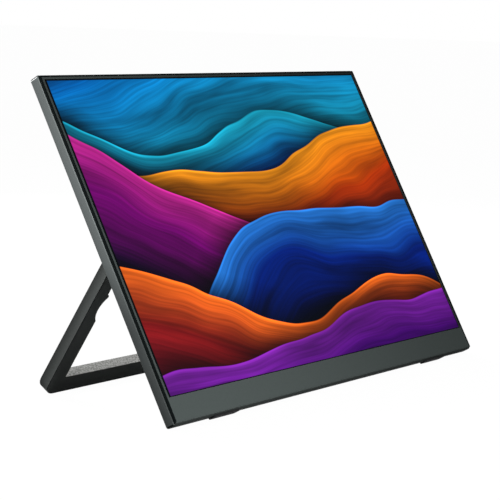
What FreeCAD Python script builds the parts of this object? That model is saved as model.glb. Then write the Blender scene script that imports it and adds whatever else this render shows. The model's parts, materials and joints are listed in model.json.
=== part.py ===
"""Portable monitor on a folding U-shaped stand, as an assembly of separate pieces, in millimetres.

The head is drawn flat: X to the right, Y up the screen, Z out of the screen, with the front face at Z = 0 and
the middle of the outline at X = Y = 0. The stand is drawn folded, with its hinge axis on X. The last section
opens the stand and leans the head back until the rubber feet and the stand's foot meet the table at Z = 0.
"""
import FreeCAD
import Part
import Sketcher
import math
import os
import re

document = FreeCAD.newDocument("portable_monitor")

# Driving sizes, in millimetres, and one angle in degrees
sizes = {
    # picture, bezel and rim
    "picture_width": 340.9,
    "picture_height": 213.1,
    "bezel_side": 4.8,
    "bezel_top": 3.3,
    "chin_height": 16.7,
    "border_side": 1.9,
    "border_top": 0.9,
    "border_bottom": 0.5,
    "bezel_thickness": 0.5,
    "rim_width": 1.05,
    "rim_depth": 1.15,
    "rim_land": 0.15,
    "rim_lip": 1.0,
    "rim_foot_lip": 0.6,
    "lip_depth": 0.2,
    "wall_chamfer": 0.5,
    "skirt_thickness": 0.5,
    "skirt_depth": 1.0,
    "fit_gap": 0.05,
    # casing
    "body_depth": 8.0,
    "corner_radius": 1.6,
    "side_wall": 1.1,
    "back_wall": 1.1,
    "edge_radius": 0.5,
    "overrun": 1.0,
    # raised housing behind, between the arms of the folded stand
    "housing_rise": 40.0,
    "housing_corner": 3.0,
    "housing_edge": 1.2,
    "arm_gap": 0.6,
    "ledge_gap": 0.5,
    # stand
    "stand_inset": 20.0,
    "stand_length": 116.6,
    "stand_depth": 8.1,
    "stand_gap": 0.3,
    "stand_lift": 1.0,
    "arm_width": 13.9,
    "neck_width": 12.2,
    "neck_length": 34.6,
    "bar_height": 13.2,
    "stand_corner": 9.5,
    "inner_corner": 1.2,
    "notch_middle": 45.6,
    "notch_length": 20.0,
    "notch_depth": 4.1,
    "opening_angle": 62.0,
    # friction hinges
    "shaft_radius": 2.0,
    "shaft_grip": 8.0,
    "shaft_clearance": 0.05,
    "wall_clearance": 0.4,
    "ear_thickness": 2.0,
    "ear_setback": 1.7,
    "ear_below": 4.0,
    "ear_rise": 16.0,
    "ear_top": 3.3,
    "plate_length": 17.0,
    "plate_height": 10.0,
    "plate_thickness": 1.2,
    "hinge_boss_height": 2.0,
    "hinge_boss_radius": 2.2,
    "hinge_screw_pitch": 8.0,
    "washer_radius": 2.65,
    "washer_thickness": 0.6,
    "collar_length": 2.0,
    # screws
    "screw_radius": 0.9,
    "screw_head_radius": 1.7,
    "screw_head_height": 0.7,
    "screw_bite": 1.0,
    # rubber feet
    "foot_inset": 51.8,
    "foot_length": 26.0,
    "foot_width": 6.4,
    "foot_height": 1.1,
    "foot_setback": 0.8,
    "foot_corner": 1.5,
    "peg_radius": 1.5,
    "peg_length": 1.8,
    "peg_pitch": 14.0,
    # panel stack
    "film_side": 3.0,
    "film_top": 2.0,
    "film_bottom": 2.5,
    "film_thickness": 0.2,
    "glass_side": 3.6,
    "glass_top": 2.4,
    "glass_bottom": 3.0,
    "glass_ledge": 2.6,
    "glass_thickness": 0.5,
    "diffuser_thickness": 0.4,
    "guide_thickness": 0.8,
    "reflector_thickness": 0.2,
    "tray_margin": 0.2,
    "tray_lip": 0.5,
    "tray_floor": 0.3,
    "lamp_zone": 3.0,
    "lamp_strip_height": 2.6,
    "lamp_strip_thickness": 0.2,
    "lamp_length": 3.0,
    "lamp_height": 1.2,
    "lamp_depth": 0.7,
    "panel_post_radius": 1.4,
    "panel_post_inset": 10.0,
    # timing board behind the chin
    "timing_margin": 46.3,
    "timing_height": 8.8,
    "timing_thickness": 0.8,
    "timing_gap": 0.5,
    "timing_post_radius": 1.5,
    "flex_width": 24.0,
    "flex_thickness": 0.1,
    "flex_on_glass": 1.8,
    "flex_on_board": 1.6,
    # main board in the housing
    "main_width": 110.0,
    "main_height": 56.0,
    "main_thickness": 1.2,
    "main_x": 10.0,
    "main_gap": 1.5,
    "main_standoff": 3.8,
    "main_post_radius": 2.4,
    "main_post_inset": 4.0,
    "chip_side": 16.0,
    "chip_height": 1.4,
    "can_width": 34.0,
    "can_height": 24.0,
    "can_depth": 2.2,
    "can_wall": 0.3,
    "capacitor_radius": 2.0,
    "capacitor_height": 2.6,
    "cable_width": 16.0,
    "cable_thickness": 0.3,
    "cable_tab": 4.0,
    # port board at the right edge
    "port_board_width": 28.0,
    "port_board_height": 94.0,
    "port_board_drop": 23.0,
    "port_board_thickness": 0.8,
    "port_board_gap": 0.6,
    "port_post_radius": 2.0,
    "port_post_inset": 4.0,
    "port_post_reach": 12.0,
    "socket_recess": 0.4,
    "socket_clearance": 0.15,
    "usb_width": 8.94,
    "usb_thickness": 3.16,
    "usb_depth": 7.35,
    "usb_wall": 0.3,
    "usb_back": 1.2,
    "usb_tongue_width": 6.2,
    "usb_tongue_thickness": 0.7,
    "usb_tongue_length": 5.2,
    "usb_first_drop": 30.0,
    "usb_pitch": 15.0,
    "hdmi_width": 11.2,
    "hdmi_thickness": 3.0,
    "hdmi_depth": 7.5,
    "hdmi_wall": 0.3,
    "hdmi_back": 1.2,
    "hdmi_tongue_width": 8.2,
    "hdmi_tongue_thickness": 0.7,
    "hdmi_tongue_length": 5.2,
    "hdmi_drop": 62.0,
    # buttons on the right edge
    "button_recess": 0.1,
    "button_clearance": 0.2,
    "button_thickness": 2.4,
    "power_length": 9.0,
    "power_drop": 8.0,
    "rocker_length": 18.0,
    "rocker_rise": 10.0,
    "flange_margin": 0.4,
    "flange_thickness": 0.6,
    "power_flange_gap": 0.15,
    "rocker_flange_gap": 0.35,
    "pivot_width": 3.2,
    "pivot_depth": 2.0,
    "pin_radius": 0.5,
    "pin_bite": 0.7,
    "switch_width": 4.0,
    "switch_height": 2.6,
    "switch_depth": 2.85,
    "plunger_radius": 0.8,
    "plunger_gap": 0.35,
    "switch_spread": 14.0,
    "switch_notch_height": 36.0,
    "switch_notch_depth": 4.6,
    # speakers
    "speaker_width": 50.0,
    "speaker_height": 17.0,
    "speaker_depth": 6.0,
    "speaker_wall": 1.0,
    "speaker_gap": 15.7,
    "speaker_lift": 3.2,
    "driver_thickness": 2.0,
    "slot_width": 1.4,
    "slot_height": 11.0,
    "slot_pitch": 4.0,
}

# Counts of what repeats
lamp_count = 40
flex_count = 4
slot_count = 9
capacitor_count = 6
washer_count = 4

# Places along a width, as shares of its half
panel_post_shares = (-1, -0.5, 0, 0.5, 1)
timing_post_shares = (-0.9, -0.4, 0.4, 0.9)
pair_shares = (-0.5, 0.5)

sheet = document.addObject("Spreadsheet::Sheet", "Sizes")
for row, (alias, number) in enumerate(sizes.items(), 1):
    sheet.set(f"A{row}", alias)
    sheet.set(f"B{row}", str(number))
    sheet.setAlias(f"B{row}", alias)
document.recompute()

# Sizes and levels that follow from the driving ones
derived = document.addObject("App::VarSet", "Derived")


def formula(text):
    """Point each name in a formula at the sheet or at the derived values."""
    def owned(match):
        word = match.group()
        if word in sizes:
            return "Sizes." + word
        if hasattr(derived, word):
            return "Derived." + word
        return word
    return re.sub(r"[a-z]\w*", owned, text)


def derive(name, text):
    derived.addProperty("App::PropertyFloat", name)
    derived.setExpression(name, formula(text))


def value(name):
    return sheet.get(name) if name in sizes else getattr(derived, name)


derive("body_width", "picture_width + 2*bezel_side + 2*rim_width")
derive("body_height", "picture_height + bezel_top + chin_height + 2*rim_width")
derive("stand_width", "body_width - 2*stand_inset")
derive("foot_spread", "body_width - 2*foot_inset")
derive("timing_width", "body_width - 2*timing_margin")
derive("picture_y", "(chin_height - bezel_top) / 2")
derive("picture_low", "picture_y - picture_height/2")
derive("picture_high", "picture_y + picture_height/2")
derive("wall_top_z", "-(rim_depth + rim_land)")
derive("floor_z", "-(body_depth - back_wall)")
derive("skirt_inset", "side_wall + fit_gap + skirt_thickness")

derive("hinge_y", "stand_lift + stand_length - body_height/2")
derive("hinge_z", "-(body_depth + stand_gap + stand_depth/2)")
derive("housing_back_z", "-(body_depth + stand_gap + stand_depth)")
derive("housing_floor_z", "housing_back_z + back_wall")
derive("housing_half", "stand_width/2 - arm_width - arm_gap")
derive("speaker_x", "housing_half - side_wall - speaker_gap - speaker_width/2")
derive("housing_low", "hinge_y - stand_length + bar_height + arm_gap")
derive("ledge_y", "hinge_y + stand_depth/2 + ledge_gap")
derive("housing_high", "hinge_y + housing_rise")

derive("glass_front_z", "-(bezel_thickness + film_thickness)")
derive("rear_glass_front_z", "glass_front_z - glass_thickness")
derive("rear_glass_back_z", "rear_glass_front_z - glass_thickness")
derive("guide_front_z", "rear_glass_back_z - diffuser_thickness")
derive("guide_back_z", "guide_front_z - guide_thickness")
derive("tray_floor_z", "guide_back_z - reflector_thickness")
derive("tray_back_z", "tray_floor_z - tray_floor")
derive("glass_width", "picture_width + 2*glass_side")
derive("glass_high", "picture_high + glass_top")
derive("front_glass_low", "picture_low - glass_bottom")
derive("rear_glass_low", "front_glass_low - glass_ledge")
derive("tray_width", "glass_width + 2*tray_margin")
derive("tray_high", "glass_high + tray_margin")
derive("tray_low", "rear_glass_low - tray_margin")
derive("guide_width", "tray_width - 2*tray_lip - 2*fit_gap")
derive("guide_high", "tray_high - tray_lip - fit_gap")
derive("guide_low", "tray_low + tray_lip + lamp_zone")

derive("timing_high", "tray_low - timing_gap")
derive("speaker_y", "housing_low + side_wall + speaker_lift + speaker_height/2")
derive("main_y", "speaker_y + speaker_height/2 + main_gap + main_height/2")
derive("main_back_z", "housing_floor_z + main_standoff")
derive("main_front_z", "main_back_z + main_thickness")

derive("inner_wall_x", "body_width/2 - side_wall")
derive("port_z", "(tray_back_z + floor_z) / 2")
derive("port_right", "inner_wall_x - port_board_gap")
derive("port_y", "hinge_y - port_board_drop")
derive("port_back_z", "port_z - port_board_thickness/2")
derive("port_front_z", "port_z + port_board_thickness/2")
derive("cable_z", "floor_z + cable_thickness")
derive("socket_mouth_x", "body_width/2 - socket_recess")
derive("button_face_x", "body_width/2 - button_recess")
derive("power_y", "hinge_y - power_drop")
derive("rocker_y", "hinge_y + rocker_rise")
derive("power_flange_x", "inner_wall_x - power_flange_gap - flange_thickness")
derive("rocker_flange_x", "inner_wall_x - rocker_flange_gap - flange_thickness")
derive("plunger_tip_x", "rocker_flange_x - plunger_gap")
derive("switch_left", "port_right - switch_notch_depth + fit_gap")
document.recompute()


# Ways of shaping a piece
def bind(feature, **texts):
    for name, text in texts.items():
        feature.setExpression(name, formula(text))
    return feature


def put(shape, place):
    """Tie a primitive's place to three formulas."""
    for axis, text in zip("xyz", place):
        shape.setExpression("Placement.Base." + axis, formula(text))
    return shape


def block(place, size):
    """A box from its low corner."""
    box = put(document.addObject("Part::Box", "block"), place)
    return bind(box, Length=size[0], Width=size[1], Height=size[2])


def cylinder(place, radius, length, direction):
    """A cylinder that starts at the place and runs along a direction."""
    turned = FreeCAD.Rotation(FreeCAD.Vector(0, 0, 1), direction)
    tube = document.addObject("Part::Cylinder", "cylinder")
    tube.Placement = FreeCAD.Placement(FreeCAD.Vector(0, 0, 0), turned)
    return bind(put(tube, place), Radius=radius, Height=length)


def post(place, radius, height):
    return cylinder(place, radius, height, FreeCAD.Vector(0, 0, 1))


def rod(place, radius, length):
    return cylinder(place, radius, length, FreeCAD.Vector(1, 0, 0))


def peg(place, radius, length):
    return cylinder(place, radius, length, FreeCAD.Vector(0, 1, 0))


def fuse(shapes):
    union = document.addObject("Part::MultiFuse", "union")
    union.Shapes = shapes
    return union


def cut(base, tools):
    rest = document.addObject("Part::Cut", "rest")
    rest.Base = base
    rest.Tool = tools[0] if len(tools) == 1 else fuse(tools)
    return rest


def group(shapes):
    gathered = document.addObject("Part::Compound", "group")
    gathered.Links = shapes
    return gathered


def pill(place, width, thickness, length):
    """A bar of round-ended section, wide in Y and thin in Z, that runs from the place along X."""
    x, y, z = place
    straight = f"(({width}) - ({thickness}))"
    sides = [rod((x, f"{y} {side} {straight}/2", z), f"({thickness})/2", length) for side in "-+"]
    core = block((x, f"{y} - {straight}/2", f"{z} - ({thickness})/2"), (length, straight, thickness))
    return fuse([core] + sides)


def new_body(name):
    return document.addObject("PartDesign::Body", name)


def attach(feature, body, role, place):
    """Attach a feature to one of its body's own origin planes, moved by three formulas."""
    plane = next(one for one in body.Origin.OriginFeatures if one.Role == role)
    feature.AttachmentSupport = [(plane, "")]
    feature.MapMode = "FlatFace"
    for axis, text in zip("xyz", place):
        feature.setExpression("AttachmentOffset.Base." + axis, formula(text))


def rectangle(body, place, width, height):
    """A rectangle about the place, drawn as a constrained sketch."""
    sketch = body.newObject("Sketcher::SketchObject", "outline")
    attach(sketch, body, "XY_Plane", place)
    corners = [FreeCAD.Vector(x, y, 0) for x, y in ((-1, -1), (1, -1), (1, 1), (-1, 1))]
    for start, end in zip(corners, corners[1:] + corners[:1]):
        sketch.addGeometry(Part.LineSegment(start, end))
    for side in range(4):
        sketch.addConstraint(Sketcher.Constraint("Coincident", side, 2, (side + 1) % 4, 1))
    for side in (0, 2):
        sketch.addConstraint(Sketcher.Constraint("Horizontal", side))
    for side in (1, 3):
        sketch.addConstraint(Sketcher.Constraint("Vertical", side))
    sketch.addConstraint(Sketcher.Constraint("Symmetric", 0, 1, 1, 2, -1, 1))
    across = sketch.addConstraint(Sketcher.Constraint("DistanceX", 0, 1, 0, 2, 2))
    along = sketch.addConstraint(Sketcher.Constraint("DistanceY", 1, 1, 1, 2, 2))
    sketch.setExpression(f"Constraints[{across}]", formula(width))
    sketch.setExpression(f"Constraints[{along}]", formula(height))
    return sketch


def slab(body, low, high, width, height, x="0", y="0", pocket=False):
    """A sketched rectangle padded, or pocketed, from one level up to another."""
    feature_type = "PartDesign::Pocket" if pocket else "PartDesign::Pad"
    sketch = rectangle(body, (x, y, low), width, height)
    feature = body.newObject(feature_type, "slab")
    feature.Profile = sketch
    feature.Reversed = pocket
    return bind(feature, Length=f"({high}) - ({low})")


def dress(body, kind, chosen, **texts):
    """Fillet or chamfer the edges of the body so far that a test chooses."""
    document.recompute()
    base = body.Tip
    names = [f"Edge{number}" for number, edge in enumerate(base.Shape.Edges, 1) if chosen(edge)]
    feature = body.newObject("PartDesign::" + kind, kind.lower())
    feature.Base = (base, names)
    return bind(feature, **texts)


tolerance = 1e-4


def near(number, target):
    return abs(number - target) < tolerance


def upright(edge):
    box = edge.BoundBox
    return near(box.XLength, 0) and near(box.YLength, 0)


def at_level(edge, level):
    box = edge.BoundBox
    return near(box.ZMin, level) and near(box.ZMax, level)


pieces = {}


def keep(label, shape, moves_with="head"):
    """Name a finished shape as one piece of the assembly. A bare primitive is wrapped first."""
    piece = group([shape]) if shape.TypeId in ("Part::Box", "Part::Cylinder") else shape
    piece.Label = label
    pieces[label] = (piece, moves_with)


# Rear cover: back shell with side walls
shell = new_body("shell")
slab(shell, "-body_depth", "wall_top_z", "body_width", "body_height")
dress(shell, "Fillet", upright, Radius="corner_radius")
dress(shell, "Fillet", lambda edge: at_level(edge, -value("body_depth")), Radius="edge_radius")
dress(shell, "Chamfer", lambda edge: at_level(edge, value("wall_top_z")), Size="wall_chamfer")

# Raised housing: a stem between the stand's arms and a band above their ends
stem_height = "(housing_high - housing_low)"
stem_y = "(housing_high + housing_low)/2"
band_height = "(housing_high - ledge_y)"
band_y = "(housing_high + ledge_y)/2"
slab(shell, "housing_back_z", "floor_z - back_wall/2", "2*housing_half", stem_height, y=stem_y)
slab(shell, "housing_back_z", "floor_z - back_wall/2", "stand_width", band_height, y=band_y)

def housing_corner(edge):
    return upright(edge) and edge.BoundBox.ZMin < -value("body_depth") - tolerance


dress(shell, "Fillet", housing_corner, Radius="housing_corner")
dress(shell, "Fillet", lambda edge: at_level(edge, value("housing_back_z")), Radius="housing_edge")

# Hollows of the shell and of the housing
slab(shell, "floor_z", "wall_top_z + overrun", "body_width - 2*side_wall", "body_height - 2*side_wall",
     pocket=True)
slab(shell, "housing_floor_z", "floor_z + overrun", "2*(housing_half - side_wall)",
     stem_height + " - 2*side_wall", y=stem_y, pocket=True)
slab(shell, "housing_floor_z", "floor_z + overrun", "stand_width - 2*side_wall",
     band_height + " - 2*side_wall", y=band_y, pocket=True)

# Posts that carry the panel, above and below, and the timing board
cover_posts = []
for share in panel_post_shares:
    for height in ("tray_high - panel_post_inset", "tray_low + panel_post_radius"):
        cover_posts.append(post((f"{share}*(tray_width/2 - panel_post_inset)", height, "floor_z"),
                                "panel_post_radius", "tray_back_z - floor_z"))
for share in timing_post_shares:
    cover_posts.append(post((f"{share}*timing_width/2", "timing_high - timing_height/2", "floor_z"),
                            "timing_post_radius", "rear_glass_front_z - timing_thickness - floor_z"))

# Drilled posts for the main board, the port board and the hinge brackets
main_screws = [(f"main_x + {right}*(main_width/2 - main_post_inset)",
                f"main_y + {up}*(main_height/2 - main_post_inset)") for right in (-1, 1) for up in (-1, 1)]
port_screws = [("port_right - port_board_width + port_post_reach",
                f"port_y + {up}*(port_board_height/2 - port_post_inset)") for up in (-1, 1)]
plate_middle = "housing_half - side_wall - ear_setback - ear_thickness - plate_length/2"
plate_row = "hinge_y + ear_rise - plate_height/2"
hinge_screws = {side: [(f"{side}*({plate_middle} + {share}*hinge_screw_pitch)", plate_row)
                       for share in pair_shares] for side in (-1, 1)}
plate_z = "housing_floor_z + hinge_boss_height"
drilled = [
    (main_screws, "main_post_radius", "housing_floor_z", "main_back_z"),
    (port_screws, "port_post_radius", "floor_z", "port_back_z"),
    (hinge_screws[-1] + hinge_screws[1], "hinge_boss_radius", "housing_floor_z", plate_z),
]
cover_cuts = []
for places, radius, low, high in drilled:
    for x, y in places:
        cover_posts.append(post((x, y, low), radius, f"{high} - ({low})"))
        cover_cuts.append(post((x, y, f"{high} - screw_bite"), "screw_radius + fit_gap",
                               "screw_bite + overrun"))

# Holes for the hinge shafts in the housing's sides
for side in (-1, 1):
    cover_cuts.append(rod((f"{side}*(housing_half - side_wall/2) - side_wall", "hinge_y", "hinge_z"),
                          "shaft_radius + wall_clearance", "2*side_wall"))

# Openings for the sockets and buttons in the right wall
usb_rows = [f"(hinge_y - usb_first_drop - {number}*usb_pitch)" for number in range(2)]
hdmi_row = "(hinge_y - hdmi_drop)"
wall_start = "inner_wall_x - overrun"
wall_reach = "side_wall + 2*overrun"
for row in usb_rows:
    cover_cuts.append(pill((wall_start, row, "port_z"), "usb_width + 2*socket_clearance",
                           "usb_thickness + 2*socket_clearance", wall_reach))
cover_cuts.append(block((wall_start, hdmi_row + " - hdmi_width/2 - socket_clearance",
                         "port_z - hdmi_thickness/2 - socket_clearance"),
                        (wall_reach, "hdmi_width + 2*socket_clearance",
                         "hdmi_thickness + 2*socket_clearance")))
for length, row in (("power_length", "power_y"), ("rocker_length", "rocker_y")):
    cover_cuts.append(pill((wall_start, row, "port_z"), length + " + 2*button_clearance",
                           "button_thickness + 2*button_clearance", wall_reach))

# Speaker slots in the housing's back
for side in (-1, 1):
    for number in range(slot_count):
        offset = number - (slot_count - 1) / 2
        cover_cuts.append(block((f"{side}*speaker_x + {offset}*slot_pitch - slot_width/2",
                                 "speaker_y - slot_height/2", "housing_back_z - overrun"),
                                ("slot_width", "slot_height", "back_wall + 2*overrun")))

# Seat of the rocker's pin, and holes for the feet's pegs
pivot_x = "rocker_flange_x - pivot_depth/2"
cover_cuts.append(post((pivot_x, "rocker_y", "floor_z - pin_bite"), "pin_radius + fit_gap",
                       "pin_bite + overrun"))
foot_z = "-(foot_setback + foot_width/2)"
peg_places = {side: [f"{side}*foot_spread/2 + {share}*peg_pitch" for share in pair_shares]
              for side in (-1, 1)}
for x in peg_places[-1] + peg_places[1]:
    cover_cuts.append(peg((x, "-body_height/2 - overrun", foot_z), "peg_radius + fit_gap",
                          "side_wall + 2*overrun"))
keep("rear_cover", cut(fuse([shell] + cover_posts), cover_cuts))

# Front rim: bevelled frame with a skirt inside the walls
rim = new_body("rim")
slab(rim, "wall_top_z", "0", "body_width - 2*wall_chamfer", "body_height - 2*wall_chamfer")
dress(rim, "Fillet", upright, Radius="corner_radius - wall_chamfer")
bevel = dress(rim, "Chamfer", lambda edge: at_level(edge, 0), Size="rim_depth",
              Size2="rim_width - wall_chamfer")
bevel.ChamferType = "Two distances"
slab(rim, "wall_top_z - skirt_depth", "wall_top_z", "body_width - 2*(side_wall + fit_gap)",
     "body_height - 2*(side_wall + fit_gap)")
slab(rim, "-lip_depth - overrun", "overrun", "body_width - 2*(rim_width + rim_lip)",
     "body_height - 2*rim_width - rim_lip - rim_foot_lip", y="(rim_foot_lip - rim_lip)/2", pocket=True)
slab(rim, "wall_top_z - skirt_depth - overrun", "-lip_depth", "body_width - 2*skirt_inset",
     "body_height - 2*skirt_inset", pocket=True)
keep("front_rim", rim)

# Front bezel with its chin
bezel = new_body("bezel")
slab(bezel, "-bezel_thickness", "-lip_depth", "body_width - 2*(skirt_inset + fit_gap)",
     "body_height - 2*(skirt_inset + fit_gap)")
slab(bezel, "-bezel_thickness - overrun", "overrun", "picture_width + 2*border_side",
     "picture_height + border_top + border_bottom", y="picture_y + (border_top - border_bottom)/2",
     pocket=True)
keep("front_bezel", bezel)


# Panel stack, from the front film to the tray
def layer(width, low_y, high_y, low_z, high_z):
    return block((f"-({width})/2", low_y, low_z),
                 (width, f"({high_y}) - ({low_y})", f"({high_z}) - ({low_z})"))


keep("polarizer_film", layer("picture_width + 2*film_side", "picture_low - film_bottom",
                             "picture_high + film_top", "glass_front_z", "-bezel_thickness"))
keep("panel_gasket", cut(
    layer("glass_width", "front_glass_low", "glass_high", "glass_front_z", "-bezel_thickness"),
    [layer("picture_width + 2*(film_side + fit_gap)", "picture_low - film_bottom - fit_gap",
           "picture_high + film_top + fit_gap", "glass_front_z - overrun", "overrun")]))
keep("front_glass", layer("glass_width", "front_glass_low", "glass_high",
                          "rear_glass_front_z", "glass_front_z"))
keep("rear_glass", layer("glass_width", "rear_glass_low", "glass_high",
                         "rear_glass_back_z", "rear_glass_front_z"))
keep("diffuser_sheets", layer("guide_width", "guide_low", "guide_high", "guide_front_z", "rear_glass_back_z"))
keep("light_guide", layer("guide_width", "guide_low", "guide_high", "guide_back_z", "guide_front_z"))
keep("reflector_sheet", layer("guide_width", "guide_low", "guide_high", "tray_floor_z", "guide_back_z"))
keep("panel_tray", cut(
    layer("tray_width", "tray_low", "tray_high", "tray_back_z", "rear_glass_back_z"),
    [layer("tray_width - 2*tray_lip", "tray_low + tray_lip", "tray_high - tray_lip",
           "tray_floor_z", "overrun")]))

# Lamps along the lower edge of the light guide
lamp_low = "tray_low + tray_lip + fit_gap"
keep("led_strip", block(("-guide_width/2", lamp_low, "tray_floor_z"),
                        ("guide_width", "lamp_strip_height", "lamp_strip_thickness")))
lamps = []
for number in range(lamp_count):
    share = (number + 0.5) / lamp_count - 0.5
    lamps.append(block((f"{share}*guide_width - lamp_length/2",
                        lamp_low + " + lamp_strip_height - lamp_height",
                        "tray_floor_z + lamp_strip_thickness"), ("lamp_length", "lamp_height", "lamp_depth")))
keep("led_chips", group(lamps))

# Timing board behind the chin, and the films that reach it from the glass
timing_back_z = "rear_glass_front_z - timing_thickness"
keep("timing_board", block(("-timing_width/2", "timing_high - timing_height", timing_back_z),
                           ("timing_width", "timing_height", "timing_thickness")))
films = []
for number in range(flex_count):
    share = (number + 0.5) / flex_count - 0.5
    films.append(block((f"{share}*timing_width - flex_width/2", "timing_high - flex_on_board",
                        "rear_glass_front_z"),
                       ("flex_width", "flex_on_board + timing_gap + tray_margin + flex_on_glass",
                        "flex_thickness")))
keep("panel_flexes", group(films))

# Main board and what it carries
main_board = block(("main_x - main_width/2", "main_y - main_height/2", "main_back_z"),
                   ("main_width", "main_height", "main_thickness"))
keep("main_board", cut(main_board, [post((x, y, "main_back_z - overrun"), "screw_radius + fit_gap",
                                         "main_thickness + 2*overrun") for x, y in main_screws]))
keep("scaler_chip", block(("main_x - main_width/4 - chip_side/2", "main_y - chip_side/2", "main_front_z"),
                          ("chip_side", "chip_side", "chip_height")))
can_x = "main_x + main_width/4 - can_width/2"
can_y = "main_y - can_height/2"
keep("shield_can", cut(
    block((can_x, can_y, "main_front_z"), ("can_width", "can_height", "can_depth")),
    [block((can_x + " + can_wall", can_y + " + can_wall", "main_front_z - overrun"),
           ("can_width - 2*can_wall", "can_height - 2*can_wall", "can_depth - can_wall + overrun"))]))
capacitors = []
for number in range(capacitor_count):
    share = (number + 0.5) / capacitor_count - 0.5
    capacitors.append(post((f"main_x + {share}*(main_width - 4*main_post_inset)",
                            "main_y + main_height/2 - main_post_inset", "main_front_z"),
                           "capacitor_radius", "capacitor_height"))
keep("board_capacitors", group(capacitors))


def screw(x, y, seat_z, through):
    """A pan-head screw whose head rests on a level and whose shank bites into the post below."""
    shank = post((x, y, f"{seat_z} - {through} - screw_bite"), "screw_radius", f"{through} + screw_bite")
    return fuse([shank, post((x, y, seat_z), "screw_head_radius", "screw_head_height")])


keep("board_screws", group([screw(x, y, "main_front_z", "main_thickness") for x, y in main_screws]))
keep("port_screws", group([screw(x, y, "port_front_z", "port_board_thickness") for x, y in port_screws]))
keep("hinge_screws", group([screw(x, y, plate_z + " + plate_thickness", "plate_thickness")
                            for x, y in hinge_screws[-1] + hinge_screws[1]]))

# Flat flex from the main board down to the timing board
cable_x = "main_x - cable_width/2"
fold_y = "(main_y - main_height/2 + cable_tab)"
timing_y = "(timing_high - timing_height/2)"
keep("panel_cable", fuse([
    block((cable_x, fold_y, "main_front_z"), ("cable_width", "cable_tab", "cable_thickness")),
    block((cable_x, fold_y, "main_front_z"),
          ("cable_width", "cable_thickness", "cable_z + cable_thickness - main_front_z")),
    block((cable_x, timing_y, "cable_z"),
          ("cable_width", f"{fold_y} - {timing_y} + cable_thickness", "cable_thickness")),
    block((cable_x, timing_y, "cable_z"),
          ("cable_width", "cable_thickness", f"{timing_back_z} - cable_z")),
]))

# Flat flex from the main board across to the port board
fold_x = "(main_x + main_width/2 - cable_tab)"
cable_y = "main_y - cable_width/2"
keep("port_cable", fuse([
    block((fold_x + " - cable_tab", cable_y, "main_front_z"),
          ("cable_tab + cable_thickness", "cable_width", "cable_thickness")),
    block((fold_x, cable_y, "main_front_z"),
          ("cable_thickness", "cable_width", "port_front_z + cable_thickness - main_front_z")),
    block((fold_x, cable_y, "port_front_z"),
          (f"port_right - port_board_width + cable_tab - {fold_x}", "cable_width", "cable_thickness")),
]))

# Port board, notched for the sockets and switches
notch_depth_z = "port_board_thickness + 2*overrun"
notch_low_z = "port_back_z - overrun"
sockets = [(row, "usb_width", "usb_depth") for row in usb_rows] + [(hdmi_row, "hdmi_width", "hdmi_depth")]
port_cuts = [block((f"socket_mouth_x - {depth} - fit_gap", f"{row} - {width}/2 - fit_gap", notch_low_z),
                   (f"{depth} + overrun", f"{width} + 2*fit_gap", notch_depth_z))
             for row, width, depth in sockets]
switch_rows = ["power_y", "(rocker_y - switch_spread/2)", "(rocker_y + switch_spread/2)"]
port_cuts.append(block(("port_right - switch_notch_depth",
                        "(power_y + rocker_y + switch_spread/2)/2 - switch_notch_height/2", notch_low_z),
                       ("switch_notch_depth + overrun", "switch_notch_height", notch_depth_z)))
port_cuts += [post((x, y, notch_low_z), "screw_radius + fit_gap", notch_depth_z) for x, y in port_screws]
port_board = block(("port_right - port_board_width", "port_y - port_board_height/2", "port_back_z"),
                   ("port_board_width", "port_board_height", "port_board_thickness"))
keep("port_board", cut(port_board, port_cuts))

# Sockets: hollow shells with a contact tongue in each
usb_back_x = "socket_mouth_x - usb_depth"
keep("usb_port_shells", group([
    cut(pill((usb_back_x, row, "port_z"), "usb_width", "usb_thickness", "usb_depth"),
        [pill((usb_back_x + " + usb_back", row, "port_z"), "usb_width - 2*usb_wall",
              "usb_thickness - 2*usb_wall", "usb_depth")]) for row in usb_rows]))
keep("usb_port_tongues", group([
    block((usb_back_x + " + usb_back", f"{row} - usb_tongue_width/2", "port_z - usb_tongue_thickness/2"),
          ("usb_tongue_length", "usb_tongue_width", "usb_tongue_thickness")) for row in usb_rows]))
hdmi_back_x = "socket_mouth_x - hdmi_depth"
keep("hdmi_port_shell", cut(
    block((hdmi_back_x, hdmi_row + " - hdmi_width/2", "port_z - hdmi_thickness/2"),
          ("hdmi_depth", "hdmi_width", "hdmi_thickness")),
    [block((hdmi_back_x + " + hdmi_back", hdmi_row + " - hdmi_width/2 + hdmi_wall",
            "port_z - hdmi_thickness/2 + hdmi_wall"),
           ("hdmi_depth", "hdmi_width - 2*hdmi_wall", "hdmi_thickness - 2*hdmi_wall"))]))
keep("hdmi_port_tongue", block(
    (hdmi_back_x + " + hdmi_back", hdmi_row + " - hdmi_tongue_width/2", "port_z - hdmi_tongue_thickness/2"),
    ("hdmi_tongue_length", "hdmi_tongue_width", "hdmi_tongue_thickness")))


# Buttons: a cap in the wall's slot, and a flange behind it that keeps it in
def button(row, length, flange_x):
    cap = pill((flange_x, row, "port_z"), length, "button_thickness", f"button_face_x - {flange_x}")
    flange = block((flange_x, f"{row} - {length}/2 - flange_margin",
                    "port_z - button_thickness/2 - flange_margin"),
                   ("flange_thickness", f"{length} + 2*flange_margin", "button_thickness + 2*flange_margin"))
    return [cap, flange]


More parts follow.
